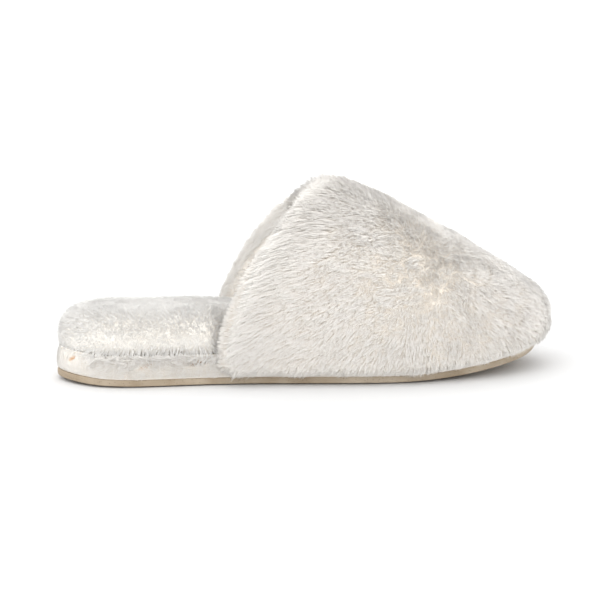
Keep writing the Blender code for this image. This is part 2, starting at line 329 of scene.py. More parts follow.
@dataclass(frozen=True)
class UnderWool(Finish):
    """The dense short wool at the foot of the pile, felted on a knitted back: matt and warm."""

    low: str = "#f0e6d8"
    high: str = "#f6f0e7"
    # Tan painted shade for the troughs of folds.
    crease: str = "#c59a70"
    tuft_mm: float = 5.0
    grain_mm: float = 0.7

    def paint(
        self, tree: bpy.types.NodeTree, place: bpy.types.NodeSocket, shader: bpy.types.Node
    ) -> None:
        """Soft patches the size of a tuft, a fine felted grain that bumps, and painted shade in
        folds.

        The attribute crease says how far the wool is pinched in a fold, and so how much
        painted tan shade is laid there. It is nothing elsewhere.

        Args:
            tree: The material's node tree.
            place: The point on the object, in metres.
            shader: The Principled shader.
        """
        scale = {"Vector": place, "Scale": 1 / (self.tuft_mm * MM), "Detail": 4.0}
        tufts = add_node(tree, "ShaderNodeTexNoise", inputs=scale)
        stops = [(0.3, self.low), (0.7, self.high)]
        colours = add_node(
            tree, "ShaderNodeValToRGB", {"stops": stops}, {0: tufts.outputs["Fac"]}
        )
        scale = {"Vector": place, "Scale": 1 / (self.grain_mm * MM), "Detail": 3.0}
        grain = add_node(tree, "ShaderNodeTexNoise", inputs=scale)
        relief = {"Height": grain.outputs["Fac"], "Strength": 0.6, "Distance": 0.5 * MM}
        bump = add_node(tree, "ShaderNodeBump", inputs=relief)
        # Painted shade: a tan colour is mixed in where a fold pinches the wool.
        pinched = add_node(tree, "ShaderNodeAttribute", {"attribute_name": "crease"})
        mixed = {"Factor": pinched.outputs["Fac"], 6: colours.outputs["Color"]}
        mixed |= {7: linear(self.crease)}
        colour = add_node(tree, "ShaderNodeMix", {"data_type": "RGBA"}, mixed)
        tree.links.new(colour.outputs["Result"], shader.inputs["Base Color"])
        tree.links.new(bump.outputs["Normal"], shader.inputs["Normal"])


@dataclass(frozen=True)
class MouldedRubber(Finish):
    """Thermoplastic rubber moulded with cork flecks: satin and beige, with duller rubbed patches.
    """

    light: str = "#b9ab97"
    dark: str = "#9c8b74"
    fleck: str = "#6f604d"
    fleck_mm: float = 1.3
    grain_mm: float = 0.5

    def paint(
        self, tree: bpy.types.NodeTree, place: bpy.types.NodeSocket, shader: bpy.types.Node
    ) -> None:
        """Cloudy beige, small dark flecks, moulded grain, and rubbed places that shine less.

        Args:
            tree: The material's node tree.
            place: The point on the object, in metres.
            shader: The Principled shader.
        """
        cloud = add_node(tree, "ShaderNodeTexNoise", inputs={"Vector": place, "Scale": 60.0})
        stops = [(0.35, self.dark), (0.68, self.light)]
        ground = add_node(tree, "ShaderNodeValToRGB", {"stops": stops}, {0: cloud.outputs["Fac"]})
        scale = {"Vector": place, "Scale": 1 / (self.fleck_mm * MM)}
        cells = add_node(tree, "ShaderNodeTexVoronoi", inputs=scale)
        spots = {"Value": cells.outputs["Distance"], "From Min": 0.10, "From Max": 0.22}
        spots |= {"To Min": 1.0, "To Max": 0.0}
        mask = add_node(tree, "ShaderNodeMapRange", inputs=spots)
        mixed = {"Factor": mask.outputs["Result"], 6: ground.outputs["Color"]}
        mixed |= {7: linear(self.fleck)}
        colour = add_node(tree, "ShaderNodeMix", {"data_type": "RGBA"}, mixed)
        scale = {"Vector": place, "Scale": 1 / (self.grain_mm * MM), "Detail": 3.0}
        grain = add_node(tree, "ShaderNodeTexNoise", inputs=scale)
        relief = {"Height": grain.outputs["Fac"], "Strength": 0.35, "Distance": 0.2 * MM}
        bump = add_node(tree, "ShaderNodeBump", inputs=relief)
        rubbed = {"Value": cloud.outputs["Fac"], "To Min": 0.48, "To Max": 0.72}
        dull = add_node(tree, "ShaderNodeMapRange", inputs=rubbed)
        tree.links.new(colour.outputs["Result"], shader.inputs["Base Color"])
        tree.links.new(dull.outputs["Result"], shader.inputs["Roughness"])
        tree.links.new(bump.outputs["Normal"], shader.inputs["Normal"])


@dataclass(frozen=True)
class BlownFoam(Finish):
    """Open-cell polyurethane or EVA foam, cut from a block: matt, with small round cells."""

    wall: str = "#efe7d0"
    # cell is painted shade in the middle of each sunk cell; wall is the foam's own colour.
    cell: str = "#c9bc98"
    cell_mm: float = 0.9

    def paint(
        self, tree: bpy.types.NodeTree, place: bpy.types.NodeSocket, shader: bpy.types.Node
    ) -> None:
        """Round cells, sunk by a bump, with painted shade darkening their middles.

        Args:
            tree: The material's node tree.
            place: The point on the object, in metres.
            shader: The Principled shader.
        """
        scale = {"Vector": place, "Scale": 1 / (self.cell_mm * MM)}
        cells = add_node(tree, "ShaderNodeTexVoronoi", inputs=scale)
        # Painted shade: darkest at the cell's middle, where the bump is lowest.
        stops = [(0.1, self.cell), (0.55, self.wall)]
        colours = add_node(
            tree, "ShaderNodeValToRGB", {"stops": stops}, {0: cells.outputs["Distance"]}
        )
        relief = {"Height": cells.outputs["Distance"], "Strength": 0.5, "Distance": 0.3 * MM}
        bump = add_node(tree, "ShaderNodeBump", inputs=relief)
        tree.links.new(colours.outputs["Color"], shader.inputs["Base Color"])
        tree.links.new(bump.outputs["Normal"], shader.inputs["Normal"])


@dataclass(frozen=True)
class PressedBoard(Finish):
    """Cellulose fibreboard, wet-laid and pressed: brown, matt, with fibres lying lengthwise."""

    light: str = "#b79a72"
    dark: str = "#8a6d48"
    fibre_mm: float = 0.6
    stretch: float = 0.15

    def paint(
        self, tree: bpy.types.NodeTree, place: bpy.types.NodeSocket, shader: bpy.types.Node
    ) -> None:
        """Fibres as noise drawn out along the foot, in the colour and in a shallow bump.

        Args:
            tree: The material's node tree.
            place: The point on the object, in metres.
            shader: The Principled shader.
        """
        turned = {"Vector": place, "Scale": (self.stretch, 1.0, 1.0)}
        drawn = add_node(tree, "ShaderNodeMapping", inputs=turned)
        scale = {"Vector": drawn.outputs[0], "Scale": 1 / (self.fibre_mm * MM), "Detail": 4.0}
        fibres = add_node(tree, "ShaderNodeTexNoise", inputs=scale)
        stops = [(0.35, self.dark), (0.65, self.light)]
        colours = add_node(
            tree, "ShaderNodeValToRGB", {"stops": stops}, {0: fibres.outputs["Fac"]}
        )
        relief = {"Height": fibres.outputs["Fac"], "Strength": 0.4, "Distance": 0.15 * MM}
        bump = add_node(tree, "ShaderNodeBump", inputs=relief)
        tree.links.new(colours.outputs["Color"], shader.inputs["Base Color"])
        tree.links.new(bump.outputs["Normal"], shader.inputs["Normal"])


@dataclass(frozen=True)
class WovenCotton(Finish):
    """Bleached cotton, plain-woven or twisted: two crossing sets of yarns that bump, with painted
    shade between them.
    """

    high: str = "#f1ece0"
    # low is painted shade in the valleys between yarns.
    low: str = "#c8bda6"
    yarn_mm: float = 0.6

    def paint(
        self, tree: bpy.types.NodeTree, place: bpy.types.NodeSocket, shader: bpy.types.Node
    ) -> None:
        """Two sets of bands a yarn apart, multiplied into a weave, with painted shade between
        yarns.

        Args:
            tree: The material's node tree.
            place: The point on the object, in metres.
            shader: The Principled shader.
        """
        # A wave texture has one band every 2 pi / 20 of its coordinate at a scale of 1.
        bands = {"Vector": place, "Scale": math.pi / (10 * self.yarn_mm * MM)}
        warp = add_node(tree, "ShaderNodeTexWave", {"bands_direction": "X"}, bands)
        weft = add_node(tree, "ShaderNodeTexWave", {"bands_direction": "Z"}, bands)
        both = {0: warp.outputs["Fac"], 1: weft.outputs["Fac"]}
        weave = add_node(tree, "ShaderNodeMath", {"operation": "MULTIPLY"}, both)
        # Painted shade: the low colour lies where the weave's bump is lowest.
        stops = [(0.0, self.low), (0.6, self.high)]
        colours = add_node(tree, "ShaderNodeValToRGB", {"stops": stops}, {0: weave.outputs[0]})
        relief = {"Height": weave.outputs[0], "Strength": 0.5, "Distance": 0.15 * MM}
        bump = add_node(tree, "ShaderNodeBump", inputs=relief)
        tree.links.new(colours.outputs["Color"], shader.inputs["Base Color"])
        tree.links.new(bump.outputs["Normal"], shader.inputs["Normal"])


@dataclass(frozen=True)
class PaperSweep(Finish):
    """Matt white seamless paper under the slipper, with a painted grey shadow where the slipper
    stands.
    """

    white: str = "#fefefe"
    # shade is a painted shadow round the slipper, fading to white between near and far.
    shade: str = "#e1e1e1"
    near: float = 0.2
    far: float = 0.8

    def paint(
        self, tree: bpy.types.NodeTree, place: bpy.types.NodeSocket, shader: bpy.types.Node
    ) -> None:
        """A painted pale grey shadow where the slipper stands, that turns white some way round it.

        Args:
            tree: The material's node tree.
            place: The point on the object, in metres.
            shader: The Principled shader.
        """
        apart = add_node(tree, "ShaderNodeVectorMath", {"operation": "LENGTH"}, {0: place})
        spread = {"Value": apart.outputs["Value"], "From Min": self.near, "From Max": self.far}
        share = add_node(tree, "ShaderNodeMapRange", inputs=spread)
        stops = [(0.0, self.shade), (1.0, self.white)]
        colours = add_node(tree, "ShaderNodeValToRGB", {"stops": stops}, {0: share.outputs[0]})
        tree.links.new(colours.outputs["Color"], shader.inputs["Base Color"])


# ---------------------------------------------------------------- the last and its shells


@dataclass(frozen=True)
class SoleLast:
    """The sole's plan outline and the way it lifts off the ground, as the CAD has them."""

    outline_mm: tuple[tuple[float, float], ...] = (
        (-133.0, 0.5),
        (-122.5, -21.5),
        (-100.5, -32.0),
        (-43.5, -34.0),
        (45.5, -45.5),
        (106.5, -28.0),
        (126.0, 8.0),
        (106.5, 37.5),
        (47.5, 46.0),
        (-43.5, 32.0),
        (-100.5, 33.0),
        (-122.5, 22.5),
    )
    toe_tip_span: int = 6
    topline_span: int = 3
    heel_centre: float = -98.5 * MM
    toe_centre: float = 85.5 * MM
    toe_spring: float = 9.5 * MM
    toe_spring_from: float = 35.5 * MM
    heel_spring: float = 1.5 * MM
    heel_spring_from: float = -90.5 * MM
    feather: float = 16.5 * MM

    @property
    def heel_tip(self) -> float:
        """The outline's first x."""
        return self.outline_mm[0][0] * MM

    @property
    def toe_tip(self) -> float:
        """The outline's x at the toe tip."""
        return self.outline_mm[self.toe_tip_span][0] * MM

    def walk(self, span: Array) -> tuple[Array, Array]:
        """Points on the outline and their outward normals.

        The outline is a uniform Catmull-Rom spline: within a span, a cubic of the two points at
        its ends and the one beyond each. The normal is the tangent turned a quarter outwards.

        Args:
            span: Distance round the outline from the heel tip, counted in spans.

        Returns:
            Points and unit normals, each of shape (n, 2).
        """
        knots = np.array(self.outline_mm) * MM
        first = np.floor(span).astype(int)
        t = (span - first)[:, None]
        p0, p1, p2, p3 = (knots[(first + step) % len(knots)] for step in (-1, 0, 1, 2))
        a, b, c = 2 * p0 - 5 * p1 + 4 * p2 - p3, 3 * p1 - p0 - 3 * p2 + p3, p2 - p0
        point = 0.5 * (2 * p1 + c * t + a * t**2 + b * t**3)
        along = unit(0.5 * (c + 2 * a * t + 3 * b * t**2))
        return point, np.stack([along[:, 1], -along[:, 0]], axis=1)

    def ring(self, samples: int) -> Array:
        """Even steps round the whole outline, in spans."""
        return np.arange(samples) * (len(self.outline_mm) / samples)

    def spring(self, x: Array) -> Array:
        """How far the sole has lifted at x: a square law at the toe and one at the heel."""
        toe = (x - self.toe_spring_from) / (self.toe_tip - self.toe_spring_from)
        heel = (x - self.heel_spring_from) / (self.heel_tip - self.heel_spring_from)
        toe, heel = np.clip(toe, 0, 1.2), np.clip(heel, 0, 1.2)
        return self.toe_spring * toe**2 + self.heel_spring * heel**2

    def raised(self, line: Array, height: Array | float) -> Array:
        """A plan line at a height above the sprung sole, as points in space."""
        return np.column_stack([line, height + self.spring(line[:, 0])])

    def edge(self, span: Array, outward: Array | float, height: Array | float) -> Array:
        """Points this far outside the outline and this high above the sprung sole."""
        point, normal = self.walk(span)
        outward = np.broadcast_to(outward, span.shape)
        return self.raised(point + normal * outward[:, None], height)


@dataclass(frozen=True)
class Shell:
    """How far a shell stands outside the last, in metres."""

    skirt: float
    low: float
    crest: float
    nose: float
    overhang: float = 0.0


@dataclass(frozen=True)
class VampLast:
    """The vamp's shape: profiles that rise from the feather line to the ridge."""

    sole: SoleLast
    crest: tuple[float, float, float] = (20.5 * MM, -1.0 * MM, 91.5 * MM)
    nose: tuple[float, float, float] = (95.5 * MM, 6.0 * MM, 49.0 * MM)
    ridge_fall: float = 1.15
    ridge_reach: float = 1.25
    crest_tilt: float = math.radians(-6)
    nose_tilt: float = math.radians(34)
    nose_lean: float = 0.75
    arch_power: float = 0.8
    topline_rake: float = 0.6
    rake_share: float = 0.7
    overhang_share: float = 0.2
    skirt_bottom: float = 7.0 * MM

    def half(self, side: Side, shares: Array, heights: Array, shell: Shell) -> Array:
        """One side of a shell.

        A profile's foot is on the sole's outline and its head is on the ridge. Between them it
        rises as a quarter of a superellipse, mixed with a ramp so that it meets the falling
        ridge at the ridge's own slope. Below the foot a skirt drops straight to the hem.

        Args:
            side: Which side of the foot.
            shares: How far forward each profile is, 0 at the topline and 1 at the toe tip.
            heights: Place on a profile: -1 at the hem, 0 at the foot and 1 on the ridge.
            shell: How far outside the last the surface is.

        Returns:
            Points, shape (len(shares), len(heights), 3).
        """
        sole, crest, nose = self.sole, np.array(self.crest), np.array(self.nose)
        back = sole.toe_tip_span - sole.topline_span
        span = sole.toe_tip_span + side.value * back * (1 - shares)
        foot = sole.edge(span, shell.low, sole.feather)
        hem = sole.edge(span, shell.skirt, self.skirt_bottom)
        reach = 1 - (1 - shares) ** self.ridge_reach
        ridge = crest + (nose - crest) * np.stack([reach, reach, reach**self.ridge_fall], axis=1)
        tilt = self.crest_tilt + (self.nose_tilt - self.crest_tilt) * shares
        outward = (shell.crest + (shell.nose - shell.crest) * shares)[:, None]
        ridge = ridge + outward * np.stack([np.sin(tilt), 0 * tilt, np.cos(tilt)], axis=1)
        fall = (crest[2] - nose[2]) / (nose[0] - crest[0])
        lean = fall * (foot[:, 0] - ridge[:, 0]) / (ridge[:, 2] - foot[:, 2])
        lean = np.clip(lean, 0, self.nose_lean)[:, None]
        turn = np.clip(heights, 0, 1)[None, :] * math.pi / 2
        inward = 1 - np.maximum(np.cos(turn), 0) ** self.arch_power
        rise = (1 - lean) * np.sin(turn) ** self.arch_power + lean * inward
        rake = smooth_step(shares, 0.0, self.rake_share)[:, None]
        ahead = (1 - np.cos(turn)) ** self.topline_rake * (1 - rake) + inward * rake
        mix = np.stack(np.broadcast_arrays(ahead, inward, rise), axis=2)
        grid = foot[:, None, :] * (1 - mix) + ridge[:, None, :] * mix
        drop = np.clip(-heights, 0, 1)[None, :, None]
        grid = grid * (1 - drop) + hem[:, None, :] * drop
        grid[:, :, 0] -= shell.overhang * (1 - smooth_step(shares, 0, self.overhang_share))[:, None]
        return grid

    def sheet(self, shares: Array, heights: Array, shell: Shell) -> Array:
        """Both sides of a shell in one grid, from the outer hem over the ridge to the inner hem."""
        outer = self.half(Side.OUTER, shares, heights, shell)
        inner = self.half(Side.INNER, shares, heights, shell)
        return np.concatenate([outer, inner[:, -2::-1]], axis=1)


# ---------------------------------------------------------------- pile


@dataclass(frozen=True)
class Coat:
    """How one kind of pile grows. A lock stands for the few dozen fibres that cling together."""

    pile: Pile
    count: int
    width: float
    lean: float
    tuft: float
    gather: float
    short: float = 0.55
    sway: float = 0.5
    seed: int = 1
    normal_softness: float = 0.92
    largest_piece: int = 19500

    # A lock: three corners at the root, three in the middle and one at the tip.
    faces: tuple = (
        (0, 1, 4),
        (0, 4, 3),
        (1, 2, 5),
        (1, 5, 4),
        (2, 0, 3),
        (2, 3, 5),
        (3, 4, 6),
        (4, 5, 6),
        (5, 3, 6),
        (2, 1, 0),
    )

    def scatter(self, pelt: "Pelt") -> dict[str, Array]:
        """Roots spread over the pelt by area, with what the pelt says at each.

        The pelt's triangles are laid end to end by area times wanted density, and the roots are
        put at even steps along that line with a random shift, so none of it is left bare.

        Args:
            pelt: The surface that the pile grows on.

        Returns:
            The pelt's values at the roots, by name.
        """
        rng = np.random.default_rng(self.seed)
        rows, columns = pelt.root.shape[:2]
        quads = grid_quads(rows, columns, around=pelt.around)
        triangles = np.concatenate([quads[:, :3], quads[:, [0, 2, 3]]])
        order = np.arange(len(quads) * 2).reshape(2, -1).T.ravel()
        triangles = triangles[order]
        flat = pelt.root.reshape(-1, 3)
        a, b, c = (flat[triangles[:, k]] for k in range(3))
        area = np.linalg.norm(np.cross(b - a, c - a), axis=1)
        area *= pelt.density.reshape(-1)[triangles].mean(axis=1)
        total = np.cumsum(area)
        steps = (np.arange(self.count) + rng.random(self.count)) / self.count * total[-1]
        hit = triangles[np.minimum(np.searchsorted(total, steps), len(triangles) - 1)]
        u, v = rng.random((2, self.count))
        u, v = np.where(u + v > 1, 1 - u, u), np.where(u + v > 1, 1 - v, v)
        weight = np.stack([1 - u - v, u, v], axis=1)
        values = {
            "root": pelt.root,
            "normal": pelt.normal,
            "length": pelt.length,
            "tufts": pelt.tufts,
            "comb": pelt.comb,
        }
        found = {}
        for name, value in values.items():
            corners = value.reshape(rows * columns, -1)[hit]
            found[name] = (corners * weight[:, :, None]).sum(axis=1)
        found["normal"] = unit(found["normal"])
        return found

    def tuft_numbers(self, points: Array, pitch: float) -> Array:
        """Which tuft each point belongs to: the nearest of one jittered site per cubic cell.

        Args:
            points: Points, shape (n, 3).
            pitch: Size of a cell.

        Returns:
            Tuft numbers from 0 up, shape (n,).
        """
        cell = np.floor(points / pitch).astype(np.int64)
        best = np.full(len(points), np.inf)
        owner = np.zeros(len(points), np.int64)
        steps = np.stack(np.meshgrid(*[[-1, 0, 1]] * 3, indexing="ij"), axis=-1).reshape(-1, 3)
        for step in steps:
            near = cell + step
            key = near @ np.array([73856093, 19349663, 83492791]) + self.seed * 977
            jitter = np.stack([(key * prime) % 1009 / 1009 for prime in (31, 57, 91)], axis=1)
            gap = np.sum((points / pitch - near - jitter) ** 2, axis=1)
            closer = gap < best
            best = np.where(closer, gap, best)
            owner = np.where(closer, key, owner)
        return np.unique(owner, return_inverse=True)[1].reshape(-1)

    def gathered(self, points: Array, tuft: Array, share: Array) -> Array:
        """Points drawn this share of the way to the middle of their own tuft."""
        size = np.bincount(tuft)[:, None]
        middle = np.stack([np.bincount(tuft, points[:, k]) for k in range(3)], axis=1) / size
        return points + (middle[tuft] - points) * share[:, None]

    def grow(self, pelt: "Pelt") -> list[bpy.types.Object]:
        """Grows the locks as pieces of a size that exports whole.

        A lock rises along the pelt's normal and bends over along the comb, so its middle is
        above the straight line from root to tip. The comb is the lie of the fur on that place,
        turned by slow noise and by one turn for each tuft. Tips are drawn together in tufts.

        Args:
            pelt: The surface that the pile grows on.

        Returns:
            The new objects.
        """
        rng = np.random.default_rng(self.seed + 100)
        at = self.scatter(pelt)
        root, normal, tufts = at["root"], at["normal"], at["tufts"][:, 0]
        tuft = self.tuft_numbers(root, self.tuft)
        wisp = self.tuft_numbers(root, self.tuft * 0.4)
        turn = rng.normal(size=(tuft.max() + 1, 3))[tuft] * 0.45
        turn += rng.normal(size=(wisp.max() + 1, 3))[wisp] * 0.35
        swirl = waves(root, 34 * MM, 3, self.seed + 7)
        comb = at["comb"] + (swirl * 0.3 + turn) * self.sway * (0.35 + 0.65 * tufts)[:, None]
        comb -= normal * np.sum(comb * normal, axis=1, keepdims=True)
        push = np.minimum(np.linalg.norm(comb, axis=1, keepdims=True), 1.0)
        comb = unit(comb) * push
        lift = rng.uniform(0.86, 1.12, tuft.max() + 1)[tuft]
        grown = self.short + (1 - self.short) * rng.random(self.count) ** 0.6
        grown *= 1 + (lift - 1) * tufts
        tall = (at["length"][:, 0] * grown)[:, None] * (0.7 + 0.3 * push)
        lean = self.lean * rng.uniform(0.7, 1.25, (self.count, 1))
        stray = rng.normal(size=(self.count, 3)) * 0.10
        middle = root + normal * tall * 0.62 + (comb * lean * 0.42 + stray) * tall
        tip = root + normal * tall + (comb * lean + stray * 1.6) * tall
        pull = self.gather * (0.3 + 0.7 * tufts)
        middle = self.gathered(self.gathered(middle, wisp, pull * 0.35), tuft, pull * 0.15)
        tip = self.gathered(self.gathered(tip, wisp, pull * 0.8), tuft, pull * 0.45)
        base = root - normal * 0.6 * MM
        along = unit(middle - base)
        across = unit(np.cross(along, normal + 0.3 * rng.normal(size=(self.count, 3))))
        above = np.cross(along, across)
        half = self.width / 2 * rng.uniform(0.75, 1.25, (self.count, 1))
        ways = [
            across * math.cos(angle) + above * math.sin(angle)
            for angle in np.radians((90, 210, 330))
        ]
        corners = [base + way * half for way in ways]
        corners += [middle + way * half * 0.7 for way in ways] + [tip]
        points = np.stack(corners, axis=1)
        outward = np.stack(ways * 2 + [unit(tip - middle)], axis=1)
        outward = unit(
            outward * (1 - self.normal_softness) + normal[:, None, :] * self.normal_softness
        )
        shade = rng.random(self.count)[:, None] * 0.14 - 0.07
        # Painted shade: root corners take the darkest colour and the tip the palest, plus a small
        # random tint per lock.
        tone = np.array([0.0, 0.0, 0.0, 0.62, 0.62, 0.62, 0.95])[None, :] + shade
        pieces = []
        parts = math.ceil(self.count / self.largest_piece)
        for number, part in enumerate(np.array_split(np.arange(self.count), parts), start=1):
            name = f"{self.pile.value}_pile_{number:02d}"
            pieces.append(self.lock_mesh(name, points[part], outward[part], tone[part]))
        return pieces

    def lock_mesh(self, name: str, points: Array, outward: Array, tone: Array) -> bpy.types.Object:
        """One object of many closed locks.

        Args:
            name: The object's name.
            points: Corners of each lock, shape (n, 7, 3).
            outward: Shading normal at each corner, shape (n, 7, 3).
            tone: Where each corner is between painted root shade and tip, shape (n, 7).

        Returns:
            The object, linked to the scene.
        """
        count = len(points)
        loops = (np.array(self.faces)[None] + 7 * np.arange(count)[:, None, None]).ravel()
        mesh = bpy.data.meshes.new(name)
        mesh.vertices.add(count * 7)
        mesh.vertices.foreach_set("co", points.astype(np.float32).ravel())
        mesh.loops.add(len(loops))
        mesh.loops.foreach_set("vertex_index", loops.astype(np.int32))
        mesh.polygons.add(len(loops) // 3)
        mesh.polygons.foreach_set("loop_start", np.arange(0, len(loops), 3, dtype=np.int32))
        set_attribute(mesh, "tone", tone)
        mesh.update(calc_edges=True)
        mesh.shade_smooth()
        if self.normal_softness > 0:
            mesh.normals_split_custom_set_from_vertices(outward.reshape(-1, 3).astype(np.float32))
        piece = bpy.data.objects.new(name, mesh)
        bpy.context.scene.collection.objects.link(piece)
        return piece


@dataclass
class Pelt:
    """A surface that pile grows on, as grids of what each of its points says."""

    root: Array
    normal: Array
    length: Array
    density: Array
    tufts: Array
    comb: Array
    around: bool = False


# ---------------------------------------------------------------- sub-assemblies


@dataclass
class Vamp:
    """The long-pile upper: a closed pelt over the last, and the locks that grow on it."""

    last: VampLast
    back: Shell = Shell(2.6 * MM, -1.0 * MM, -1.0 * MM, -1.0 * MM)
    tips: Shell = Shell(7.5 * MM, 8.5 * MM, 13.5 * MM, 10.5 * MM, 3.0 * MM)
    finish: Finish = FurLocks("acrylic_fur_locks", "long_pile_fur")
    wool: Finish = UnderWool("fur_underwool", "long_pile_fur")
    root_share: float = 0.68
    rim_share: float = 0.018
    coat: Coat = Coat(
        Pile.VAMP, 108000, 0.32 * MM, 1.75, 9 * MM, 0.22, seed=11, sway=0.32, short=0.7
    )
    roll_coat: Coat = Coat(
        Pile.ROLL, 16000, 0.32 * MM, 0.9, 8 * MM, 0.25, seed=17, sway=0.45, short=0.65
    )
    roll_inner: float = -7.8 * MM
    roll_outer: float = 4.8 * MM
    roll_outer_crest: float = 6.6 * MM
    roll_back: dict = field(default_factory=lambda: {Side.OUTER: 7.5 * MM, Side.INNER: 0.8 * MM})
    roll_back_crest: float = 13.0 * MM
    roll_pile: dict = field(default_factory=lambda: {Side.OUTER: 4.8 * MM, Side.INNER: 2.6 * MM})
    roll_pile_crest: float = 9.5 * MM

    def surface(self) -> tuple[Array, Array, Pelt]:
        """The pelt's back and the surface that the locks grow from.

        The root surface is a share of the way from back to tips. The share falls to nothing at
        the topline and the hem as a quarter of an ellipse, which rounds those edges over. The
        locks are longer along the topline's outer side, to soften the edge there.

        Returns:
            Back grid, root grid, and the pelt for the pile.
        """
        near = np.linspace(0, 1, 9)[:-1] ** 2 * self.rim_share
        shares = np.concatenate([near, np.linspace(self.rim_share, 1, 110)])
        heights = np.concatenate([-np.linspace(1, 0, 11)[:-1] ** 1.6, np.linspace(0, 1, 45)])
        back = self.last.sheet(shares, heights, self.back)
        tips = self.last.sheet(shares, heights, self.tips)
        across = np.concatenate([heights, heights[-2::-1]])
        rim = np.clip(1 - shares / self.rim_share, 0, 1)[:, None]
        hem = np.clip((-across - 0.45) / 0.55, 0, 1)[None, :]
        swell = np.sqrt(np.maximum(1 - rim**2, 0)) * np.sqrt(np.maximum(1 - hem**2, 0))
        bulk = waves(back, 26 * MM, 1, 5)[..., 0]
        depth = (tips - back) * (self.root_share + 0.035 * bulk)[..., None] * swell[..., None]
        root = back + depth
        normal = grid_normals(root, tips - back)
        length = np.linalg.norm(tips - back, axis=-1) * (1 - self.root_share)
        share, height = np.broadcast_arrays(shares[:, None], across[None, :])
        inner_side = np.arange(len(across)) >= len(heights)
        length = length * (1.1 - 0.12 * smooth_step(height, 0.5, 0.9))
        length = length * (1 + 0.25 * smooth_step(share, 0.75, 1.0))
        length = length * (1 + 0.2 * (1 - smooth_step(height, -0.9, -0.2)) * (1 + bulk))
        crest = (1 - smooth_step(share, 0.1, 0.3)) * smooth_step(height, 0.6, 1.0)
        length = length * (1 - 0.05 * crest)
        rear = (1 - smooth_step(share, 0.03, 0.1)) * smooth_step(height, -0.75, -0.1)
        rear = rear * (1 - smooth_step(height, 0.7, 1.0)) * np.where(inner_side, 0.1, 1.0)
        length = length * (1 + 0.6 * rear)
        tufts = smooth_step(share, 0.02, 0.25) * (1 - 0.6 * smooth_step(height, 0.45, 0.95))
        forward = np.zeros(root.shape)
        forward[..., 0] = 1.6 * smooth_step(share, 0.05, 0.75) - np.where(inner_side, 0.25, 0.95)
        forward[..., 2] = -0.3 - 0.9 * (1 - smooth_step(height, -0.6, 0.3))
        density = 1 + 1.4 * (1 - smooth_step(share, 0.0, 0.03))
        return back, root, Pelt(root, normal, length, density, tufts, forward)

    def roll(self) -> tuple[Array, Pelt]:
        """The fur rolled over the topline, as a strip of D-shaped section behind the raw edges.

        The strip follows the topline from the outer foot over the crest to the inner foot. Its
        section is half an ellipse that bulges backwards, closed by a flat front. Its ends
        narrow to a point, and it bulges most at the crest.

        Returns:
            The strip's grid, of closed rows, and the pelt for the pile on its round part.
        """
        heights = np.concatenate([-np.linspace(0.75, 0, 9)[:-1], np.linspace(0, 1, 60)])
        edge = np.array([0.0, 0.03])
        inner = self.last.sheet(edge, heights, Shell(self.back.skirt, *[self.roll_inner] * 3))
        round_line = Shell(self.tips.skirt, self.roll_outer, self.roll_outer_crest, 0.0)
        outer = self.last.sheet(edge, heights, round_line)
        across = np.concatenate([heights, heights[-2::-1]])
        middle, out = (inner[0] + outer[0]) / 2, (outer[0] - inner[0]) / 2
        along = np.gradient(middle, axis=0)
        backward = np.cross(along, out)
        backward *= np.sign(-np.sum(backward * (inner[1] - inner[0]), axis=1, keepdims=True))
        swell = smooth_step(across, 0.5, 0.95)
        outer_side = np.arange(len(across)) < len(heights)
        low = np.where(outer_side, self.roll_back[Side.OUTER], self.roll_back[Side.INNER])
        reach = low + (self.roll_back_crest - low) * swell
        ends = np.sqrt(np.maximum(1 - np.clip((-across - 0.5) / 0.25, 0, 1) ** 2, 0))
        backward = unit(backward) * (reach * ends)[:, None]
        out = out * ends[:, None]
        turn = np.linspace(0, math.pi, 15)[None, :, None]
        middle = middle + unit(backward) * 0.3 * MM
        bulge = middle[:, None] + out[:, None] * np.cos(turn) + backward[:, None] * np.sin(turn)
        normal = grid_normals(bulge, bulge - (middle - backward)[:, None])
        front = np.linspace(bulge[:, -1], bulge[:, 0], 6, axis=1)[:, 1:-1]
        flat = np.ones(bulge.shape[:2])
        pile = np.where(outer_side, self.roll_pile[Side.OUTER], self.roll_pile[Side.INNER])
        length = flat * (pile * (1 - swell) + self.roll_pile_crest * swell)[:, None]
        comb = np.broadcast_to(unit(backward)[:, None] * 0.6, bulge.shape) + (0, 0, -0.2)
        comb = comb + (swell[:, None] * (0, 0, 0.45))[:, None]
        pelt = Pelt(bulge, normal, length, flat, flat * 0.2, comb)
        return np.concatenate([bulge, front], axis=1), pelt

    def build(self) -> None:
        """Makes the pelts and their pile, and hides the plain solid that they stand for."""
        grid, rolled = self.roll()
        quads = grid_quads(*grid.shape[:2], around=True)
        points, faces, _ = weld(grid.reshape(-1, 3), quads)
        piece = closed_mesh("topline_roll", points, faces)
        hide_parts("vamp_fur")
        dress(piece, self.wool)
        for locks in self.roll_coat.grow(rolled):
            dress(locks, self.finish)
        back, root, pelt = self.surface()
        rows, columns = root.shape[:2]
        points = np.concatenate([back.reshape(-1, 3), root.reshape(-1, 3)])
        quads = [grid_quads(rows, columns), grid_quads(rows, columns, rows * columns)]
        points, faces, _ = weld(points, np.concatenate(quads))
        piece = closed_mesh("vamp_pelt", points, faces)
        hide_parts("vamp_fur")
        dress(piece, self.wool)
        for locks in self.coat.grow(pelt):
            dress(locks, self.finish)


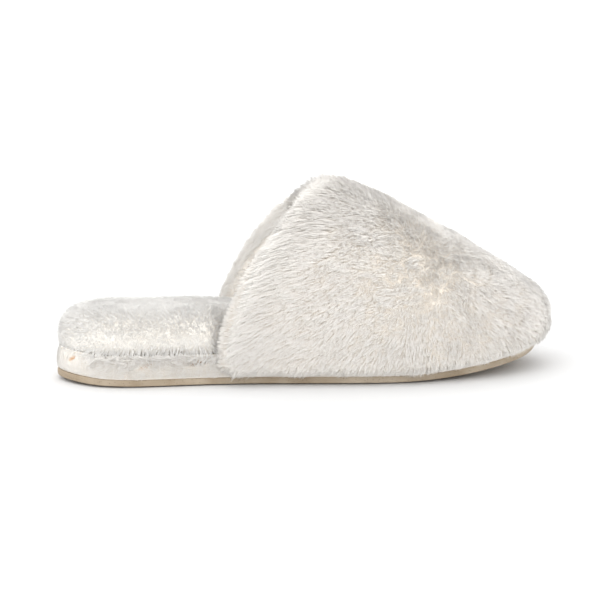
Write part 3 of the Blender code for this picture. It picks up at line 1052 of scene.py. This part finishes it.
@dataclass
class Footbed:
    """The long-pile sock: a soft pillow over the memory foam."""

    sole: SoleLast
    # Its root colour is painted shade at the foot of the locks.
    finish: Finish = FurLocks(
        "acrylic_sock_locks", "long_pile_fur", root="#f4eee5", body="#f6f4f0"
    )
    wool: Finish = UnderWool(
        "sock_underwool", "long_pile_fur", low="#efe9e0", high="#f4f1eb"
    )
    foam_inset: float = 10.7 * MM
    roof: float = 7.3 * MM
    height: float = 22.6 * MM
    pull: float = 9.1 * MM
    pull_from: float = -57.0 * MM
    pull_to: float = -45.5 * MM
    toe_pull: float = 10.0 * MM
    toe_pull_from: float = 37.5 * MM
    lower_from: float = -44.5 * MM
    lower_to: float = -10.5 * MM
    front_share: float = 0.64
    toe_share: float = 0.74
    pile_depth: float = 2.4 * MM
    most_puff: float = 1.6 * MM
    puff_pressure: float = 4.0
    puff_stiffness: float = 25.0
    puff_frames: int = 20
    samples: int = 192
    coat: Coat = Coat(
        Pile.SOCK, 31000, 0.36 * MM, 1.15, 7 * MM, 0.1, seed=23, sway=0.35, short=0.72
    )
    # The pillow's section: outward (mm), share of the way to the middle line, share of height.
    section: tuple = (
        (-2.5, 0.0, 0.0),
        (-1.0, 0.0, 0.18),
        (-0.8, 0.0, 0.44),
        (-2.0, 0.03, 0.68),
        (-3.0, 0.14, 0.87),
        (-3.0, 0.34, 0.97),
        (-3.0, 0.60, 1.0),
        (-3.0, 0.80, 1.0),
        (-3.0, 1.0, 1.0),
    )

    def line(self, outward: float, share: float) -> Array:
        """The sock's plan outline, moved outwards, then part of the way to its middle line."""
        edge, normal = self.sole.walk(self.sole.ring(self.samples))
        pull = self.pull * smooth_step(edge[:, 0], self.pull_from, self.pull_to)
        line = edge + normal * (outward - pull)[:, None]
        tip = smooth_step(edge[:, 0], self.toe_pull_from, self.sole.toe_tip)
        line[:, 0] -= self.toe_pull * tip
        middle = (line + line[-np.arange(len(line)) % len(line)]) / 2
        middle[:, 0] = np.clip(middle[:, 0], self.sole.heel_centre, self.sole.toe_centre)
        return line + (middle - line) * share

    def rings(self, steps: int, sunk: float) -> Array:
        """The pillow as rings from its foot to its middle line.

        The section's rows are joined by a Catmull-Rom curve. The height is full at the open
        heel and falls by a smooth step where the sock goes under the vamp, and again at the toe.

        Args:
            steps: Rings for each row of the section.
            sunk: How far below the tips of the pile the surface lies.

        Returns:
            Points, shape (rings, samples, 3).
        """
        rows = np.array(self.section)
        spot = np.linspace(0, len(rows) - 1, (len(rows) - 1) * steps + 1)
        first = np.minimum(spot.astype(int), len(rows) - 2)
        t = (spot - first)[:, None]
        last = len(rows) - 1
        p0, p1, p2, p3 = (rows[np.clip(first + step, 0, last)] for step in (-1, 0, 1, 2))
        curve = 2 * p1 + (p2 - p0) * t + (2 * p0 - 5 * p1 + 4 * p2 - p3) * t**2
        curve = 0.5 * (curve + (3 * p1 - p0 - 3 * p2 + p3) * t**3)
        grid = []
        for outward, share, rise in curve:
            inset = sunk * (0.2 + 0.7 * float(smooth_step(rise, 0.1, 0.7)))
            line = self.line(outward * MM - inset, min(share, 1.0))
            front = smooth_step(line[:, 0], self.lower_from, self.lower_to)
            nose = smooth_step(line[:, 0], self.toe_pull_from, self.sole.toe_centre)
            top = self.height * (1 - (1 - self.front_share) * front)
            top = top * (1 - (1 - self.toe_share) * nose)
            if sunk:
                top = np.maximum(top - sunk, self.roof + 0.9 * MM)
            grid.append(self.sole.raised(line, self.sole.feather + top * min(rise, 1.0)))
        return np.array(grid)

    def puffed(self, piece: bpy.types.Object, loose: Array) -> Array:
        """Blows the pillow up a little as cloth, so its skin is taut and crowned like padding.

        Args:
            piece: The pillow, whose mesh is changed.
            loose: True for each vertex that may move.

        Returns:
            The new places of the vertices, shape (n, 3).
        """
        mesh = piece.data
        still = np.empty(len(mesh.vertices) * 3, np.float32)
        mesh.vertices.foreach_get("co", still)
        still = still.reshape(-1, 3)
        held = piece.vertex_groups.new(name="held")
        held.add(np.flatnonzero(~loose).tolist(), 1.0, "REPLACE")
        cloth = piece.modifiers.new("padding", "CLOTH")
        cloth.settings.vertex_group_mass = "held"
        cloth.settings.use_pressure = True
        cloth.settings.uniform_pressure_force = self.puff_pressure
        cloth.settings.effector_weights.gravity = 0.0
        cloth.settings.tension_stiffness = self.puff_stiffness
        cloth.settings.compression_stiffness = self.puff_stiffness
        cloth.point_cache.frame_start, cloth.point_cache.frame_end = 1, self.puff_frames
        scene = bpy.context.scene
        for number in range(1, self.puff_frames + 1):
            scene.frame_set(number)
        graph = bpy.context.evaluated_depsgraph_get()
        moved = np.empty(len(mesh.vertices) * 3, np.float32)
        piece.evaluated_get(graph).data.vertices.foreach_get("co", moved)
        step = moved.reshape(-1, 3) - still
        size = np.linalg.norm(step, axis=1, keepdims=True)
        step *= np.minimum(1, self.most_puff / np.maximum(size, 1e-9))
        piece.modifiers.remove(cloth)
        piece.vertex_groups.remove(held)
        scene.frame_set(1)
        mesh.vertices.foreach_set("co", (still + step).ravel())
        mesh.update()
        kept = min(float(size.max()), self.most_puff) / MM
        LOG.info("sock pillow: padding moved it up to %.1f mm", kept)
        return still + step

    def build(self) -> None:
        """Makes the pillow and its pile, and hides the plain solid that they stand for."""
        tips, root = self.rings(4, 0.0), self.rings(4, self.pile_depth)
        feather = self.sole.feather
        low = self.sole.raised(self.line(-self.foam_inset, 0.0), feather)
        roof = [
            self.sole.raised(self.line(-self.foam_inset, share), feather + self.roof)
            for share in np.linspace(0, 1, 8)
        ]
        grid = np.concatenate([np.array(roof)[::-1], low[None], root])
        quads = grid_quads(len(grid), self.samples, around=True)
        points, faces, index = weld(grid.reshape(-1, 3), quads)
        piece = closed_mesh("footbed_pillow", points, faces)
        number = index.reshape(len(grid), self.samples)[len(roof) + 1 :]
        loose = np.zeros(len(points), bool)
        loose[number[2:].ravel()] = True
        points = self.puffed(piece, loose)
        root = points[number].astype(float)
        normal = grid_normals(root, tips - root + np.array([0, 0, 2 * MM]))
        low = np.clip(1 - np.arange(len(root)) / 9, 0, 1)[:, None]
        normal = unit(normal + low[..., None] * np.array([0, 0, 0.6]))
        open_heel = smooth_step(root[..., 0], -0.124, -0.112)
        length = np.maximum(
            1.5 * np.linalg.norm(tips - root, axis=-1), (2.5 + 3.2 * open_heel) * MM * low
        )
        beside = smooth_step(root[..., 0], -0.064, -0.054)
        beside = beside * (1 - smooth_step(root[..., 0], -0.040, -0.030))
        length = length + 5.0 * MM * beside * low
        flat = np.ones(length.shape)
        comb = np.zeros(root.shape)
        comb[..., 0] = -0.35 + 0.2 * beside
        comb[..., 2] = -0.3 - (0.5 + 0.8 * open_heel) * low * (1 - 0.6 * beside)
        inside = smooth_step(root[..., 0], -0.005, 0.03)
        pelt = Pelt(root, normal, length, flat * (1 - 0.55 * inside), flat * 0.35, comb, True)
        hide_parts("footbed_fur")
        dress(piece, self.wool)
        for locks in self.coat.grow(pelt):
            dress(locks, self.finish)


@dataclass
class SidewallWrap:
    """The plush strip wrapped round the midsole, gathered a little where it turns over."""

    sole: SoleLast
    # Its root colour is painted shade at the foot of the locks.
    finish: Finish = FurLocks(
        "plush_locks", "plush", root="#efe7dc", body="#f6f2eb", tip="#f9f6f2"
    )
    wool: Finish = UnderWool("plush_ground", "plush", low="#ece4d9", high="#f3efe8")
    bottom: float = 4.3 * MM
    height: float = 10.7 * MM
    skin: float = 1.2 * MM
    ledge: float = 6.0 * MM
    flange: float = 13.0 * MM
    heel_tuck: float = 1.2 * MM
    samples: int = 480
    coat: Coat = Coat(
        Pile.WRAP, 16000, 0.34 * MM, 1.2, 5 * MM, 0.2, seed=31, sway=0.7, short=0.7
    )
    # The pile on the strip leans back towards the heel, and hardly up or down.
    pile_back: float = -0.6
    pile_up: float = 0.025
    # Folds in the strip: span round the outline, height share, half length in spans, depth (mm).
    folds: tuple = (
        (0.70, 0.74, 0.10, 1.2),
        (2.23, 0.66, 0.07, 0.5),
        (2.74, 0.80, 0.09, 1.4),
        (10.2, 0.5, 0.12, 1.0),
    )

    def build(self) -> None:
        """Makes the strip and its short pile, and hides the plain solid that they stand for.

        The strip's section is the CAD's, with its outer face bulged as half a superellipse.
        Gathers are a wave along the outline that is strongest at the top, and each fold is a
        narrow trough with almost no pile in it, darkened with a painted tan shade. A low
        rounded lip runs along the top edge.
        """
        top = self.bottom + self.height
        turn = np.linspace(0, math.pi, 17)
        face = [
            (
                0.3 * MM - 0.6 * MM * a / math.pi + 1.1 * MM * math.sin(a) ** 0.6,
                self.bottom + self.height * (a / math.pi),
            )
            for a in turn
        ]
        lip = [(-0.1, 0.9), (-0.6, 1.4), (-1.6, 1.4), (-2.6, 0.6), (-2.9, 0.0)]
        face += [(outward * MM, top + rise * MM) for outward, rise in lip]
        rest = [
            (-self.ledge, top),
            (-self.ledge, top - self.skin),
            (-2.4 * MM, top - self.skin),
            (-1.6 * MM, self.bottom + 0.5 * self.height),
            (-2.4 * MM, self.bottom + self.skin),
            (-self.flange, self.bottom + self.skin),
            (-self.flange, self.bottom),
        ]
        span = self.sole.ring(self.samples)
        knots = len(self.sole.outline_mm)
        heel = self.sole.walk(span)[0][:, 0]
        rows, pinches = [], []
        for number, (outward, height) in enumerate(face + rest):
            pinch = np.zeros(self.samples)
            line = outward - self.heel_tuck * (1 - smooth_step(heel, -125 * MM, -105 * MM))
            if 0 < number < len(turn) - 1:
                share = number / (len(turn) - 1)
                line += 0.3 * MM * share * np.sin(span * 2 * math.pi * 5.3) * np.sin(span * 2.1)
                for place, height_share, reach, depth in self.folds:
                    gap = (span - place + knots / 2) % knots - knots / 2
                    slant = height_share + 0.12 * gap / reach
                    trough = np.exp(-((gap / reach) ** 4))
                    trough = trough * np.exp(-(((share - slant) / 0.10) ** 2))
                    line -= depth * MM * trough
                    pinch = np.maximum(pinch, np.minimum(1, depth) * trough)
            pinches.append(pinch)
            rows.append(self.sole.edge(span, line, height))
        grid = np.array(rows + rows[:1])
        quads = grid_quads(len(grid), self.samples, around=True)
        points, faces, index = weld(grid.reshape(-1, 3), quads)
        piece = closed_mesh("sidewall_strip", points, faces)
        # Each fold's trough is stored for the wool's painted tan shade.
        crease = np.zeros(len(points))
        crease[index] = np.array(pinches + pinches[:1]).ravel()
        set_attribute(piece.data, "crease", crease)
        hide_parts("sidewall_wrap")
        dress(piece, self.wool)
        rows_with_pile = slice(1, len(turn) + 1)
        root = grid[rows_with_pile]
        normal = grid_normals(root, root - grid[-1].mean(axis=0))
        flat = np.ones(root.shape[:2])
        comb = np.zeros(root.shape)
        comb[..., 0], comb[..., 2] = self.pile_back, self.pile_up
        covered = smooth_step(root[..., 0], -0.055, -0.04)
        level = np.linspace(0, 1, len(root))[:, None]
        open_heel = smooth_step(root[..., 0], -0.125, -0.11)
        length = 0.8 * MM + (0.8 + 4.6 * level**2) * MM * open_heel
        bare = 1 - 0.95 * np.array(pinches)[rows_with_pile]
        pelt = Pelt(root, normal, length * bare, (1 - 0.8 * covered) * bare, flat * 0.3, comb, True)
        for locks in self.coat.grow(pelt):
            dress(locks, self.finish)


@dataclass
class Lining:
    """The short plush inside the vamp, as a thin closed shell with pile on its inner face."""

    last: VampLast
    # Its root colour is painted shade at the foot of the locks.
    finish: Finish = FurLocks(
        "lining_locks", "plush_lining", root="#ecdcc6", body="#f6eee2", tip="#fbf7f0"
    )
    wool: Finish = UnderWool("lining_ground", "plush_lining", low="#ecdcc6", high="#f6ecde")
    outside: float = -4.6 * MM
    inside: float = -5.9 * MM
    edge_share: float = 0.02
    coat: Coat = Coat(
        Pile.LINING, 13000, 0.36 * MM, 0.7, 6 * MM, 0.25, seed=41, sway=0.6, short=0.7
    )

    def build(self) -> None:
        """Makes the shell and its pile, and hides the plain solid that they stand for.

        The inner face runs into the outer one at the edges as a quarter of an ellipse.
        """
        near = np.linspace(0, 1, 6)[:-1] ** 2 * self.edge_share
        shares = np.concatenate([near, np.linspace(self.edge_share, 1, 70)])
        heights = np.linspace(0, 1, 33)
        outer = self.last.sheet(shares, heights, Shell(0, *[self.outside] * 3))
        inner = self.last.sheet(shares, heights, Shell(0, *[self.inside] * 3))
        across = np.concatenate([heights, heights[-2::-1]])
        rim = np.clip(1 - shares / self.edge_share, 0, 1)[:, None]
        foot = np.clip(1 - across / 0.03, 0, 1)[None, :]
        share = np.sqrt(np.maximum(1 - rim**2, 0)) * np.sqrt(np.maximum(1 - foot**2, 0))
        root = outer + (inner - outer) * share[..., None]
        rows, columns = root.shape[:2]
        points = np.concatenate([outer.reshape(-1, 3), root.reshape(-1, 3)])
        quads = [grid_quads(rows, columns), grid_quads(rows, columns, rows * columns)]
        points, faces, _ = weld(points, np.concatenate(quads))
        piece = closed_mesh("vamp_lining_plush", points, faces)
        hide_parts("vamp_lining")
        dress(piece, self.wool)
        normal = grid_normals(root, inner - outer)
        flat = np.ones(root.shape[:2])
        comb = np.zeros(root.shape)
        comb[..., 0], comb[..., 2] = -0.6, 0.1
        density = 1 - 0.75 * smooth_step(np.broadcast_to(shares[:, None], flat.shape), 0.15, 0.6)
        length = 2.4 * MM + 2.8 * MM * (1 - smooth_step(shares, 0.0, 0.35))[:, None] * flat
        pelt = Pelt(root, normal, length, density, flat * 0.3, comb)
        for locks in self.coat.grow(pelt):
            dress(locks, self.finish)


@dataclass
class Outsole:
    """The moulded outsole, with a rounded edge, a tread border and grip nubs."""

    sole: SoleLast
    finish: Finish = MouldedRubber("moulded_flecked_rubber", "outsole_rubber", ior=1.52)
    bottom: float = 0.7 * MM
    thickness: float = 3.5 * MM
    nub_radius: float = 3.0 * MM
    nub_pitch: float = 23.0 * MM
    nub_margin: float = 6.0 * MM
    nub_sides: int = 20
    samples: int = 384

    def slab(self) -> bpy.types.Object:
        """The slab: rings from the middle of the underside, round the edge, to the middle on top.

        The edge is half a superellipse with a shallow waist, and the underside has a groove a
        little way in from its edge. Rings shrink to the sole's middle line, where they close.

        Returns:
            The slab's object.
        """
        top = self.bottom + self.thickness
        turn = np.linspace(-math.pi / 2, math.pi / 2, 15)
        bend = np.cos(turn) ** 0.3
        edge = [
            (-0.75 * MM * (1 - b), self.bottom + self.thickness * (0.5 + 0.5 * math.sin(a)))
            for a, b in zip(turn, bend)
        ]
        border = [(-5.2, 0.0), (-4.4, 0.0), (-4.1, 0.45), (-3.3, 0.45), (-3.0, 0.0), (-1.6, 0.0)]
        under = [(out * MM, self.bottom + deep * MM) for out, deep in border]
        span = self.sole.ring(self.samples)
        rings = [self.sole.edge(span, out, height) for out, height in under + edge]
        for height, into in ((self.bottom, 0), (top, -1)):
            line = self.sole.edge(span, -6.5 * MM, height)[:, :2]
            mates = line[-np.arange(len(line)) % len(line)]
            middle = (line + mates) / 2
            middle[:, 0] = np.clip(middle[:, 0], self.sole.heel_centre, self.sole.toe_centre)
            plan = [line + (middle - line) * share for share in np.linspace(0, 1, 9)]
            disc = [self.sole.raised(p, height) for p in plan]
            rings = disc[::-1] + rings if into == 0 else rings + disc
        grid = np.array(rings)
        quads = grid_quads(len(grid), self.samples, around=True)
        points, faces, _ = weld(grid.reshape(-1, 3), quads)
        return closed_mesh("moulded_outsole", points, faces)

    def nub_places(self) -> Array:
        """Where the nubs stand: a staggered grid kept inside the outline by a margin.

        A place is inside if a line from it crosses the outline an odd number of times.

        Returns:
            Plan points, shape (n, 2).
        """
        row, column = np.meshgrid(np.arange(-7, 8), np.arange(-3, 4), indexing="ij")
        x = row * self.nub_pitch * math.sqrt(3) / 2
        y = (column + 0.5 * (row % 2)) * self.nub_pitch
        places = np.stack([x.ravel(), y.ravel()], axis=1)
        line = self.sole.edge(self.sole.ring(self.samples), -self.nub_margin, 0.0)[:, :2]
        ahead = np.roll(line, -1, axis=0)
        level = places[:, 1:]
        spans = (line[:, 1] > level) != (ahead[:, 1] > level)
        rise = ahead[:, 1] - line[:, 1]
        slope = (ahead[:, 0] - line[:, 0]) / np.where(rise == 0, 1, rise)
        crossing = line[:, 0] + (level - line[:, 1]) * slope
        inside = np.count_nonzero(spans & (crossing > places[:, :1]), axis=1) % 2 == 1
        return places[inside]

    def nubs(self) -> bpy.types.Object:
        """The nubs: low cones with a rounded rim, each a closed ring stack sunk into the slab."""
        section = [(0.0, 0.0), (0.62, 0.0), (0.78, 0.08), (0.86, 0.3), (1.0, 1.7), (0.0, 1.7)]
        angle = np.arange(self.nub_sides) * 2 * math.pi / self.nub_sides
        ring = np.stack([np.cos(angle), np.sin(angle)], axis=1)
        places = self.nub_places()
        grids, quads = [], []
        for number, (share, height) in enumerate(section):
            plan = places[:, None, :] + ring[None] * share * self.nub_radius
            lift = np.broadcast_to(self.sole.spring(places[:, 0])[:, None], plan.shape[:2])
            grids.append(np.concatenate([plan, (lift + height * MM)[..., None]], axis=2))
        grid = np.stack(grids, axis=1)
        size = len(section) * self.nub_sides
        one = grid_quads(len(section), self.nub_sides, around=True)
        quads = (one[None] + size * np.arange(len(places))[:, None, None]).reshape(-1, 4)
        points, faces, _ = weld(grid.reshape(-1, 3), quads)
        return closed_mesh("grip_nubs", points, faces)

    def build(self) -> None:
        """Makes the slab and its nubs, and hides the plain solid that they stand for."""
        for piece in (self.slab(), self.nubs()):
            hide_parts("outsole")
            dress(piece, self.finish)


@dataclass
class HiddenCore:
    """The layers inside, whose CAD shapes are right: each gets the finish of the real one."""

    finishes: dict[str, Finish] = field(
        default_factory=lambda: {
            "midsole_foam": BlownFoam("eva_midsole_foam", "midsole_foam", cell_mm=0.6),
            "memory_foam": BlownFoam("slow_rebound_foam", "memory_foam", cell_mm=1.1),
            "vamp_interlining": BlownFoam("interlining_foam", "interlining_foam", cell_mm=0.8),
            "insole_board": PressedBoard("cellulose_board", "fibreboard"),
            "toe_puff": PressedBoard("toe_puff_board", "fibreboard", light="#c4b08e"),
            "topline_stay_tape": WovenCotton("cotton_stay_tape", "cotton_tape"),
            "feather_seam_thread": WovenCotton("twisted_thread", "thread", yarn_mm=0.3),
        }
    )

    def build(self) -> None:
        """Assigns each CAD node's material."""
        for node, finish in self.finishes.items():
            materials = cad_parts[node].data.materials
            materials.clear()
            materials.append(finish.material())
            LOG.info("%s: %s", node, finish.name)


@dataclass
class Studio:
    """The white sweep, the soft light and the camera."""

    azimuth: float = -10.0
    elevation: float = 10.0
    distance: float = 1.3
    lens: float = 147.0
    aim: tuple[float, float, float] = (0.0, 0.0, 45.0 * MM)
    right_shift: float = -4.0 * MM
    up_shift: float = -7.4 * MM
    sky: float = 1.28
    heel_watts: float = 6.5
    front_watts: float = 7.5
    back_watts: float = 8.0
    box_width: float = 2.4
    box_height: float = 1.4
    paper_half: float = 12.0
    sensor: float = 36.0
    paper: Finish = PaperSweep("white_paper_sweep", "")

    def floor(self) -> None:
        """The paper, as one large level sheet."""
        mesh = bpy.data.meshes.new("paper_sweep")
        half = self.paper_half
        corners = [(-half, -half, 0), (half, -half, 0), (half, half, 0), (-half, half, 0)]
        mesh.from_pydata(corners, [], [(0, 1, 2, 3)])
        mesh.materials.append(self.paper.material())
        sheet = bpy.data.objects.new("paper_sweep", mesh)
        bpy.context.scene.collection.objects.link(sheet)

    def lights(self) -> None:
        """An even white surround, with softboxes above the heel, in front and behind."""
        world = bpy.data.worlds.new("white_surround")
        world.use_nodes = True
        ground = world.node_tree.nodes["Background"]
        ground.inputs["Color"].default_value = (1.0, 1.0, 1.0, 1.0)
        ground.inputs["Strength"].default_value = self.sky
        bpy.context.scene.world = world
        for name, watts, place in (
            ("heel_softbox", self.heel_watts, (-1.05, -0.5, 1.25)),
            ("front_softbox", self.front_watts, (-0.35, -1.45, 0.75)),
            ("back_softbox", self.back_watts, (0.35, 1.45, 0.95)),
        ):
            lamp = bpy.data.lights.new(name, "AREA")
            lamp.shape = "RECTANGLE"
            lamp.size, lamp.size_y = self.box_width, self.box_height
            lamp.energy = watts
            box = bpy.data.objects.new(name, lamp)
            box.location = place
            aim = Vector((0, 0, 0.04)) - box.location
            box.rotation_euler = aim.to_track_quat("-Z", "Y").to_euler()
            bpy.context.scene.collection.objects.link(box)

    def camera(self) -> None:
        """The camera, turned round the slipper and shifted so that it sits where it should."""
        turn, tilt = math.radians(self.azimuth), math.radians(self.elevation)
        back = Vector(
            (math.sin(turn) * math.cos(tilt), -math.cos(turn) * math.cos(tilt), math.sin(tilt))
        )
        right = Vector((math.cos(turn), math.sin(turn), 0))
        up = back.cross(right)
        target = Vector(self.aim) + right * self.right_shift + up * self.up_shift
        data = bpy.data.cameras.new("studio_camera")
        data.lens, data.sensor_width = self.lens, self.sensor
        camera = bpy.data.objects.new("studio_camera", data)
        camera.location = target + back * self.distance
        camera.rotation_euler = (-back).to_track_quat("-Z", "Y").to_euler()
        bpy.context.scene.collection.objects.link(camera)
        bpy.context.scene.camera = camera

    def build(self) -> None:
        """Sets the whole stage."""
        bpy.context.scene.view_settings.view_transform = "Standard"
        self.floor()
        self.lights()
        self.camera()


def main() -> None:
    """Builds the slipper from the ground up, then the studio."""
    logging.basicConfig(level=logging.INFO, format="%(message)s")
    sole = SoleLast()
    last = VampLast(sole)
    for part in (
        Outsole(sole),
        SidewallWrap(sole),
        HiddenCore(),
        Footbed(sole),
        Lining(last),
        Vamp(last),
        Studio(),
    ):
        part.build()


if __name__ == "__main__":
    main()
